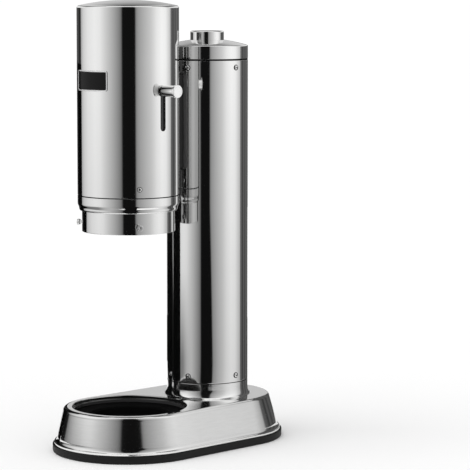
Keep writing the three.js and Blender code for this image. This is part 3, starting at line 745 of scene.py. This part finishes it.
def slotted_wall(radius, low, high, chamfer=0.0):
    """The head's wall at one radius: the far side, below and above the window, the window.

    In the window, u is the distance round the wall from its middle and z the height. The
    slot's outline there is its nearest middle-line point plus its half width along the
    line to the border point. Point (i, k) lies (i/8)^1.5 of the way from it to the border,
    so the rows stand closer at the slot.
    """
    foot = held([straight(radius, low, window_low, 6)])
    side_run = straight(radius, window_low, window_high, 30)
    top = held([straight(radius, window_high, high, 8)])
    far = around([foot, side_run[1:], top[1:]], HEAD, rest_angles)
    below = around([foot], HEAD, window_angles)
    above = around([top], HEAD, window_angles)
    side = np.linspace(window_low, window_high, 31)
    u = (window_angles - np.pi / 2) * radius
    border = np.vstack([
        np.column_stack([u, np.full(len(u), window_low)]),
        np.column_stack([np.full(30, u[-1]), side[1:]]),
        np.column_stack([u[::-1][1:], np.full(len(u) - 1, window_high)]),
        np.column_stack([np.full(30, u[0]), side[::-1][1:]]),
    ])
    half = slot_half + chamfer
    nearest = np.clip(border[:, 1], slot_low + slot_half, slot_high - slot_half)
    middle = np.column_stack([np.zeros(len(border)), nearest])
    spoke = border - middle
    rim = middle + half * spoke / np.linalg.norm(spoke, axis=1, keepdims=True)
    t = np.linspace(0, 1, 9)[:, None, None] ** 1.5
    window = rim + t * (border - rim)
    phi = window[..., 0] / radius + np.pi / 2
    bent = np.stack([radius * np.sin(phi), HEAD[1] - radius * np.cos(phi), window[..., 1]], 2)
    return [far, below, above, bent]


head_bore, head_foot, crown_height, head_top, dome_rise = HEAD_RADIUS - wall, 265.6, 455.5, 463.49, 6.0
ceiling_height, crown_round = 455.0, 2.0
outer_wall = slotted_wall(HEAD_RADIUS, head_foot + FINE, crown_height, chamfer=0.25)
inner_wall = slotted_wall(head_bore, head_foot, ceiling_height)
slot_rims = np.stack([outer_wall[3][0], inner_wall[3][0]])

dome_radii = np.linspace(50.6, 0, 26)
dome = np.column_stack([dome_radii, head_top - dome_rise * (dome_radii / HEAD_RADIUS) ** 2])
crown_profile = [bend(HEAD_RADIUS - crown_round, crown_height, crown_round, 2.1, 0, 74, 8), dome]
ceiling_profile = [line((head_bore, ceiling_height), (30, 460.3), (0, 462))]
foot_profile = [line((head_bore, head_foot)), fine_foot(HEAD_RADIUS, head_foot)]
skin(
    "head_steel",
    [
        *outer_wall, *inner_wall, slot_rims,
        around(crown_profile, HEAD, all_angles),
        around(ceiling_profile, HEAD, all_angles),
        around(foot_profile, HEAD, all_angles),
    ],
    polished_steel, "body", "mirror_steel", "head_shell",
)

# %% [markdown]
# Below the head hangs a ring that draws in towards the shield. Its rounded shoulder faces
# down and outwards, so it mirrors the pale floor and shows as a bright line. The shield is
# the tube inside it, which slides down with the chamber, so it rides on that body.

# %% Lower ring and shield
ring_top, tab_inside, tab_outside, tab_top = 264.6, 49.7, 50.5, 272
ring_profile = [
    line((tab_inside, tab_top), (tab_inside, 252.3), (48.2, 252.3), (48.2, 249.9)),
    bend(48.6, 249.9, -0.4, -0.4, 0, 90, 3),
    bend(49.1, 252.2, 1.45, 2.7, -90, -8, 12),
    line((50.6, 252.6), (50.72, 253.2), (50.98, 253.9), (51.35, 254.7)),
    bend(50.9, 257.3, 1.1, 2.6, -48, 0, 6),
    fine_rim(HEAD_RADIUS, ring_top),
    line((tab_outside, ring_top), (tab_outside, tab_top), (tab_inside, tab_top)),
]
ring_grid = turned(ring_profile, HEAD)
skin("ring_steel", [ring_grid], polished_steel, "body", "mirror_steel", "head_lower_ring")
joint_band("head_joint", HEAD, tab_outside, 51.7, ring_top, head_foot)

shield_bore, shield_foot, shield_top, shield_round = SHIELD_RADIUS - wall, 227.9, 446, 0.4
round_start = SHIELD_RADIUS - shield_round
shield_profile = [
    line((shield_bore, shield_top), (shield_bore, shield_foot + shield_round)),
    line((shield_bore + shield_round, shield_foot), (round_start, shield_foot)),
    bend(round_start, shield_foot + shield_round, shield_round, shield_round, -90, 0, 3),
    line((SHIELD_RADIUS, shield_top), (shield_bore, shield_top)),
]
shield_grid = turned(shield_profile, HEAD)
skin("shield_steel", [shield_grid], polished_steel, "chamber", "mirror_steel", "shield_tube")

# %% [markdown]
# ## Knob, studs and screws
#
# These are turned pieces too, but their axes point outwards from the head or the column.
# They are made round an upright axis and then laid over: height becomes the distance from
# the column's or the head's axis, and the piece is turned to its place round it. Turning
# the objects would do it too, but here a finished piece stays unturned at the origin.

# %% Laying a turned piece outwards


def laid_out(profile, axis, angle, height, steps=48):
    """A profile of (radius, distance from the axis) carried round a level line at an angle."""
    upright = around([held(profile, 0.1)], (0, 0), turns(steps))
    a = np.radians(angle)
    outwards = np.array([np.sin(a), -np.cos(a), 0])
    sideways = np.array([np.cos(a), np.sin(a), 0])
    centre = np.array([*axis, height])
    across, rise, reach = upright[..., :1], upright[..., 1:2], upright[..., 2:]
    return centre + reach * outwards + across * sideways + rise * np.array([0, 0, 1])


def screw_profile(tip, seat, half, rise, shank=1.5):
    """A round-headed screw: shank, dome and a blind round socket with a chamfer."""
    return [
        line((0, tip), (shank, tip), (shank, seat), (half, seat)),
        bend(0, seat, half, rise, 12, 62, 8),
        line((half * 0.44, seat + rise * 0.72), (half * 0.42, seat + rise * 0.45), (0, seat + rise * 0.3)),
    ]


def screw_painted_shade(seat, half, rise, axis, angle, height):
    """Two dark rings of a screw, both painted shade: the shadow line round its head, and its socket's
    floor.
    """
    foot, floor = seat - SEAT, seat + rise * 0.46
    inner, outer, top = half - 0.1, half + 0.6, seat - 0.08
    ring = line((inner, foot), (outer, foot), (outer, top), (inner, top), (inner, foot))
    edge, thin = half * 0.34, 0.06
    socket = line((0, floor), (edge, floor), (edge, floor + thin), (0, floor + thin))
    return [laid_out([profile], axis, angle, height) for profile in (ring, socket)]


print("a screw of half width 2 has", len(np.vstack(screw_profile(0, 4, 2, 1))), "profile points")

# %% [markdown]
# The knob is a polished cap on a thin stem, and each stud a round nut with a hollow in its
# face. A screw is read by its dark outline and its dark socket more than by its steel, and
# both are finer than a shadow can draw at this size. So each screw has a black ring under
# its head's edge and a black floor in its socket, both painted shade.

# %% Knob, studs, and every screw that shows
knob_profile = [
    line((3.1, 53), (4.7, 53), (4.7, 54.3)),
    bend(5.4, 54.7, 0.4, 0.4, -90, 0, 3),
    line((5.8, 70.7)),
    bend(6.2, 71.1, 0.4, 0.4, -90, 0, 3),
    bend(6.1, 72.9, 0.5, 0.5, 0, 90, 4),
    line((5.0, 73.4), (4.7, 73.2), (0, 73.2)),
    line((0, 62), (3.1, 62), (3.1, 53)),
]
knob_height = 372.7
knob_grid = laid_out(knob_profile, HEAD, 90, knob_height, 72)
skin("knob_steel", [knob_grid], polished_steel, "lever", "mirror_steel", "lever_knob")

stud_profile = [
    line((0, 46.5), (1.8, 46.5), (1.8, 52.4)),
    bend(2.5, 52.9, 0.5, 0.5, -90, 0, 3),
    bend(2.4, 54.6, 0.6, 0.6, 0, 90, 4),
    line((1.3, 55.2), (1.1, 54.2), (0, 54.0)),
]
darks = []
stud_height, head_screw_height = 235.6, 274.3
head_size = {"seat": HEAD_RADIUS + SEAT, "half": 2.1, "rise": 1.0}
for number, angle in enumerate((-60, 60, 180), 1):
    stud = laid_out(stud_profile, HEAD, angle, stud_height)
    skin(f"stud_{number}", [stud], polished_steel, "chamber", "plain_steel", f"shield_stud_{number}")
    screw = laid_out(screw_profile(tip=48.7, **head_size), HEAD, angle, head_screw_height)
    name, node = f"head_screw_steel_{number}", f"head_screw_{number}"
    skin(name, [screw], polished_steel, "body", "plain_steel", node)
    darks += screw_painted_shade(**head_size, axis=HEAD, angle=angle, height=head_screw_height)

column_size = {"seat": COLUMN_RADIUS + SEAT, "half": 2.4, "rise": 1.3}
for row, height in (("lower", 69.3), ("upper", 393.1)):
    for number, angle in enumerate((-17.5, 17.5, 90, 180, -90), 1):
        screw = laid_out(screw_profile(tip=39.1, **column_size), COLUMN, angle, height)
        name, node = f"{row}_screw_steel_{number}", f"column_{row}_screw_{number}"
        skin(name, [screw], polished_steel, "body", "plain_steel", node)
        darks += screw_painted_shade(**column_size, axis=COLUMN, angle=angle, height=height)
skin("screw_painted_shade", darks, joint_black, "body", "black_rubber")

# %% [markdown]
# ## Badge and neck
#
# The badge is a thin satin frame round a black enamel field, both bent to the head. Each is
# drawn flat, in distance round the wall and height, from a rounded rectangle, and then
# wrapped on: the distance becomes an angle. A Shrinkwrap modifier would bend them too, but
# it would also pull the frame's rounded section flat. The plate is left bare.

# %% Badge
badge_seat = HEAD_RADIUS + SEAT


def rounded_rectangle(half_width, low, high, radius, steps=8, spacing=1.2):
    """A rounded rectangle's outline and its outward directions, closed, counted from the right.

    The corners are arcs, centre + radius·(cos a, sin a). The straight runs get a point every
    spacing millimetres as well, found by length along the outline, so that they can bend.
    """
    corners = [(half_width - radius, high - radius, 0), (radius - half_width, high - radius, 90),
               (radius - half_width, low + radius, 180), (half_width - radius, low + radius, 270)]
    a = np.radians(np.concatenate([start + np.linspace(0, 90, steps + 1) for _, _, start in corners]))
    centres = np.repeat([(x, z) for x, z, _ in corners], steps + 1, axis=0)
    facing = np.column_stack([np.cos(a), np.sin(a)])
    both = np.hstack([centres + radius * facing, facing])
    both = np.vstack([both, both[:1]])
    length = np.concatenate([[0], np.cumsum(np.linalg.norm(np.diff(both[:, :2], axis=0), axis=1))])
    at = np.union1d(length, np.arange(0, length[-1], spacing))
    along = np.column_stack([np.interp(at, length, column) for column in both.T])
    return along[:, :2], along[:, 2:]


def wrapped(flat, radius):
    """Wrap (distance round, height) on to the head's front at one radius each row."""
    phi = flat[..., 0] / badge_seat
    return np.stack([radius * np.sin(phi), HEAD[1] - radius * np.cos(phi), flat[..., 1]], -1)


path, facing = rounded_rectangle(22, 372.3, 393.1, 2.4)
rows = [(0, 0), (0, 0.6), (-0.2, 0.8), (-0.9, 0.8), (-1.1, 0.6), (-1.1, 0), (0, 0)]
frame_rows = np.stack([wrapped(path + inset * facing, badge_seat + out) for inset, out in rows])
skin("badge_frame_steel", [frame_rows], satin_steel, "body", "mirror_steel", "badge_frame")

path, _ = rounded_rectangle(20.6, 373.7, 391.7, 1.6)
middle = np.array([0, 382.7])
scales = np.linspace(0, 1, 25)[:, None, None]
field = middle + scales * (path - middle)
field_front, field_back = wrapped(field, badge_seat + 0.45), wrapped(field, badge_seat)
field_side = np.stack([field_back[-1], field_front[-1]])
skin(
    "badge_field_enamel", [field_front, field_back, field_side],
    black_enamel, "body", "gloss_black", "badge_field",
)

# %% [markdown]
# The neck is a black oxided steel bar between the head and the column. The badge's rounded
# rectangle stands upright here as its section, and each end follows the round wall that it
# meets. A boolean cut would do the same, but it leaves long thin faces at the ends.

# %% Neck between the head and the column
neck_half, neck_low, neck_high, neck_round = 7.5, 286, 388, 4
section, _ = rounded_rectangle(neck_half, neck_low, neck_high, neck_round)
centre_line = np.array([0, (neck_low + neck_high) / 2])


def neck_end(centre, radius):
    """An end of the neck, from its middle out to its outline, on the round wall that it meets.

    A point of the section at x has the depth centre + sqrt(radius² − x²); a negative radius
    takes the wall's other side.
    """
    t = np.linspace(0, 1, 9)[:, None, None]
    inside = centre_line + t * (section - centre_line)
    depth = centre + np.sign(radius) * np.sqrt(radius**2 - inside[..., 0] ** 2)
    return np.stack([inside[..., 0], depth, inside[..., 1]], 2)


at_head = neck_end(HEAD[1], HEAD_RADIUS + SEAT)
at_column = neck_end(COLUMN[1], -COLUMN_RADIUS - SEAT)
sides = np.stack([at_head[-1], at_column[-1]])
skin("neck_black", [sides, at_head, at_column], black_oxide, "body", "black_steel", "neck_bracket")

# %% [markdown]
# ## The studio
#
# A mirror needs something to mirror. The photographer stood soft panels to the left and
# right, and kept black between them, in front, so that the steel shows a dark line with
# bright fields beside it. Here one upright drum round the machine carries all of it: its
# own UV runs once round, and a ramp says how bright each direction is. Only mirror rays
# see it. The floor and the background are plain white; the background lights the machine
# with 0.82 of what the camera and the mirrors see of it.

# %% White floor and world
world = bpy.data.worlds.new("studio_white")
bpy.context.scene.world = world
sky = Finish(world)
rays = "ShaderNodeLightPath"
seen = sky.node(rays, output="Is Camera Ray") + sky.node(rays, output="Is Glossy Ray")
seen = seen + sky.node(rays, output="Is Transmission Ray")
level = 0.82 + seen.math("MINIMUM", 1.0) * 0.18
backdrop = sky.node("ShaderNodeBackground", inputs={"Color": level, "Strength": 1.0})
sky.node("ShaderNodeOutputWorld", inputs={"Surface": backdrop})


def staged(name, points, finish, mirror_only=True, uv=None):
    """A piece of the studio: a grid of points in metres, perhaps seen only by mirror rays."""
    mesh = bpy.data.meshes.new(name)
    quads = faces_of([points])
    mesh.from_pydata(points.reshape(-1, 3), [], quads.tolist())
    mesh.materials.append(finish)
    if uv is not None:
        corners = uv.reshape(-1, 2)[quads.reshape(-1)]
        mesh.uv_layers.new(name="round_and_up").data.foreach_set("uv", corners.reshape(-1))
    piece = bpy.data.objects.new(name, mesh)
    bpy.context.scene.collection.objects.link(piece)
    if mirror_only:
        piece.visible_camera = piece.visible_diffuse = False
        piece.visible_transmission = piece.visible_shadow = False
    print("studio:", name)
    return piece


floor_finish = new_finish("white_floor")
white_floor = floor_finish.surface(
    Base_Color=floor_finish.blend(floor_finish.noise(3), 0.985, 1),
    Roughness=0.9,
    Specular_IOR_Level=0.0,
)
reach = np.linspace(-60, 60, 13)
floor_x, floor_y = np.meshgrid(reach, reach)
staged("floor", np.dstack([floor_x, floor_y, np.zeros_like(floor_x)]), white_floor, mirror_only=False)

# %% [markdown]
# The drum stands 52 cm out. Its foot lies flat on the floor for a stretch, because a
# polished table mirrors the panels and carries their image on towards the machine: from
# 30 cm out at the sides, from 16 cm out in the black part and from 40 cm out on the left
# behind.

# %% The drum
facing_camera = np.degrees(np.arctan2(camera_place.x, -camera_place.y))
drum_radius = 0.52
# both of the first two rows are on the floor, and the first is drawn in further down
drum_profile = [(drum_radius, 0.0005)] * 2 + [(drum_radius, z) for z in np.linspace(0.05, 1.5, 30)]
drum_radii, drum_heights = np.transpose(drum_profile)


def upright_band(radii, heights, centre, angles):
    """A band round an upright axis, in metres: (cx + r·sin φ, cy − r·cos φ, z) for each (r, z)."""
    x = centre[0] + np.outer(radii, np.sin(angles))
    y = centre[1] - np.outer(radii, np.cos(angles))
    return np.stack([x, y, np.outer(heights, np.ones_like(angles))], 2)


round_angles = np.linspace(-180, 180, 181)  # from behind, to the camera and behind again
drum_points = upright_band(drum_radii, drum_heights, (0, 0), np.radians(facing_camera + round_angles))
floor_starts = np.interp(
    round_angles,
    [-180, -157, -153, -125, -115, -16, -14, 10, 12, 162, 168, 180],
    [0.52, 0.52, 0.40, 0.40, 0.30, 0.30, 0.16, 0.16, 0.30, 0.30, 0.52, 0.52],
)
drum_points[0, :, :2] *= (floor_starts / drum_radius)[:, None]


def direction(degrees):
    """Where a direction lies on the ramp; 0 is towards the camera, + is to its right."""
    return (degrees + 180) / 360


drum_uv = np.dstack(np.meshgrid(direction(round_angles), drum_heights))
print("drum points", drum_points.shape)

# %% [markdown]
# A ramp over the directions holds the panels and the black between them. Its greys are no
# lighting plan: they were read from the photograph, mostly along one row of the head, and
# followed back to the drum over one mirror bounce, then thinned and rounded. Panels
# worked out from a few edges and strengths of their own would be the sounder way, and
# should take this list's place.
#
# The panels fade a little towards the floor, the left one more, and two of their edges
# lean. Behind the machine a light between 6 and 20 cm up brightens the flat top of the
# base, and another, from 47 cm up, is for the domes, which mirror what is higher.

# %% What the drum shows in each direction
around_ramp = [
    (-150, 0.10), (-133, 0.05), (-128, 0.02), (-121, 0.02), (-117, 0.45), (-107, 0.68), (-92, 0.84),
    (-72, 0.93), (-60, 0.88), (-47, 0.66), (-35, 0.48), (-20, 0.24), (-16.5, 0.15), (-14.5, 0.006),
    (10.5, 0.006), (12.5, 0.24), (17, 0.35), (28, 0.47), (46, 0.65), (60, 0.88), (74, 1.0),
    (87, 0.95), (101, 0.65), (105, 0.58), (107.5, 0.13), (113, 0.13), (118, 0.04), (123, 0.15),
    (130, 0.06), (136, 0.14), (150, 0.10),
]
overhead_ramp = [(0.0, 0.80), (0.12, 0.70), (0.17, 0.55), (0.24, 0.22), (0.36, 0.12), (1.0, 0.25)]

studio = new_finish("panels_and_flags")
uv = studio.node("ShaderNodeUVMap", {"uv_map": "round_and_up"})
along, height = studio.part("X", uv), studio.part("Y", uv)
flag_edge = (1 - (along - direction(14)).math("ABSOLUTE") * 14).math("MAXIMUM", 0)
lean = (0.2 - height).math("MAXIMUM", 0) * flag_edge * 0.13
left_edge = (1 - (along - direction(-115)).math("ABSOLUTE") * 12).math("MAXIMUM", 0)
lean = lean + (0.14 - height).math("MAXIMUM", 0) * left_edge * 0.18
panel_stops = [(direction(angle), shade) for angle, shade in around_ramp]
panels = studio.node("ShaderNodeValToRGB", {"stops": panel_stops}, {"Fac": along - lean})
fade = (0.76 + height * 0.62).math("MINIMUM", 1.0)
on_left = ((direction(-45) - along) * 12).clipped()
left_fade = 1 - on_left * (0.7 - height * 6).math("MAXIMUM", 0)
from_behind = 0.5 - (along - 0.5).math("ABSOLUTE")
is_overhead = height.math("GREATER_THAN", 0.466) * from_behind.math("LESS_THAN", 80 / 360)
middle_dip = (0.6 + from_behind * 6).math("MINIMUM", 1.1)
overhead = studio.node("ShaderNodeValToRGB", {"stops": overhead_ramp}, {"Fac": height - 0.5}) * middle_dip
is_low_behind = height.math("LESS_THAN", 0.2) * height.math("GREATER_THAN", 0.06)
is_low_behind = is_low_behind * from_behind.math("LESS_THAN", 24 / 360)
low_behind = 0.74 - height * 0.9
panel_glow = panels * fade * left_fade * (1 - is_overhead) * (1 - is_low_behind)
glow = panel_glow + overhead * is_overhead + low_behind * is_low_behind
lamp = studio.node("ShaderNodeEmission", inputs={"Color": glow, "Strength": 1.0})
studio.node("ShaderNodeOutputMaterial", inputs={"Surface": lamp})
staged("studio_drum", drum_points, studio.owner, uv=drum_uv)

# %% [markdown]
# A black flag stands upright to the left of the machine, behind the line to the head, so
# that only the column mirrors it. It gives the column its black outline, and a slit in it
# gives the thin light line in there.

# %% Flag on the left
flag_black = new_finish("black_flag")
flag_black.surface(
    Base_Color=flag_black.blend(flag_black.noise(20), 0.002, 0.006),
    Roughness=0.9,
    Specular_IOR_Level=0.0,
)
flag_distance, flag_low, flag_high = 0.15, 0.002, 0.396
for name, start, stop in (("flag_front", 0.015, -0.078), ("flag_back", -0.102, -0.52)):
    towards_camera = np.linspace(start, stop, 9)[:, None]
    run = (-flag_distance * np.array(right) - towards_camera * np.array(ahead)) * (1, 1, 0)
    staged(name, np.stack([run + (0, 0, flag_low), run + (0, 0, flag_high)]), flag_black.owner)

# %% [markdown]
# One soft sun high on the left adds the missing light and draws the machine's soft shadow
# to the right of the base.

# %% Sun
sun_data = bpy.data.lights.new("soft_sun", "SUN")
sun_data.angle = np.radians(50)
sun_data.energy = 0.86
soft_sun = bpy.data.objects.new("soft_sun", sun_data)
towards_sun = (-1.0 * right + 0.55 * -ahead + Vector((0, 0, 1.3))).normalized()
soft_sun.matrix_world = towards_sun.to_track_quat("Z", "Y").to_matrix().to_4x4()
soft_sun.visible_glossy = False
bpy.context.scene.collection.objects.link(soft_sun)
print("sun strength", sun_data.energy, "and", round(np.degrees(sun_data.angle)), "degrees wide")

# %% [markdown]
# The photograph's background is full white. The standard view turns light into picture
# values without a film curve on top, so the white world stays full white here too.

# %% View transform
bpy.context.scene.view_settings.view_transform = "Standard"
